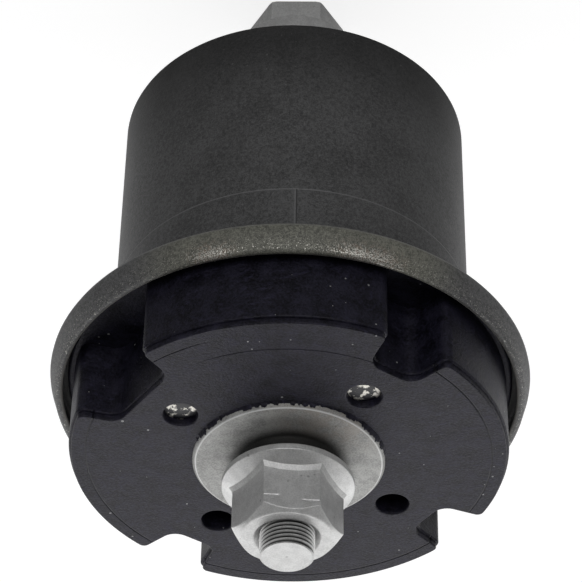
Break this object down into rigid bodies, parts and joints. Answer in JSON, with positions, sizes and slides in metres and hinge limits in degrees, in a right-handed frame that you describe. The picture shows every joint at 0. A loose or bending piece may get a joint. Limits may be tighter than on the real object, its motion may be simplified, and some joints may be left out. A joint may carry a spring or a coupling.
{
  "type": "trailing arm bushing",
  "caption": "Trailing arm bushing: black flanged steel can bonded to a lobed rubber face around a steel inner sleeve, with its flanged bolt and nut.",
  "frame": {"origin": "on the axis, at the end face of the bolt head, which the part stands on", "axes": "+Z along the axis from the bolt head to the nut; the wide notch of the rubber face lies at 34 degrees from +X towards -Y"},
  "size_m": [0.1076, 0.1074, 0.1596],
  "materials": {
    "coated_steel": "matte black coating, worn at the rim",
    "rubber": "moulded natural rubber, dusty",
    "plate_steel": "bare pressed steel",
    "collar_metal": "fine blasted silver",
    "plated_steel": "zinc flake coating, silver"
  },
  "bodies": {
    "root": {"outer_sleeve": "coated_steel", "rubber_bush": "rubber", "stop_plate": "plate_steel", "inner_sleeve": "collar_metal", "bolt": "plated_steel", "flange_nut": "plated_steel"}
  },
  "joints": []
}
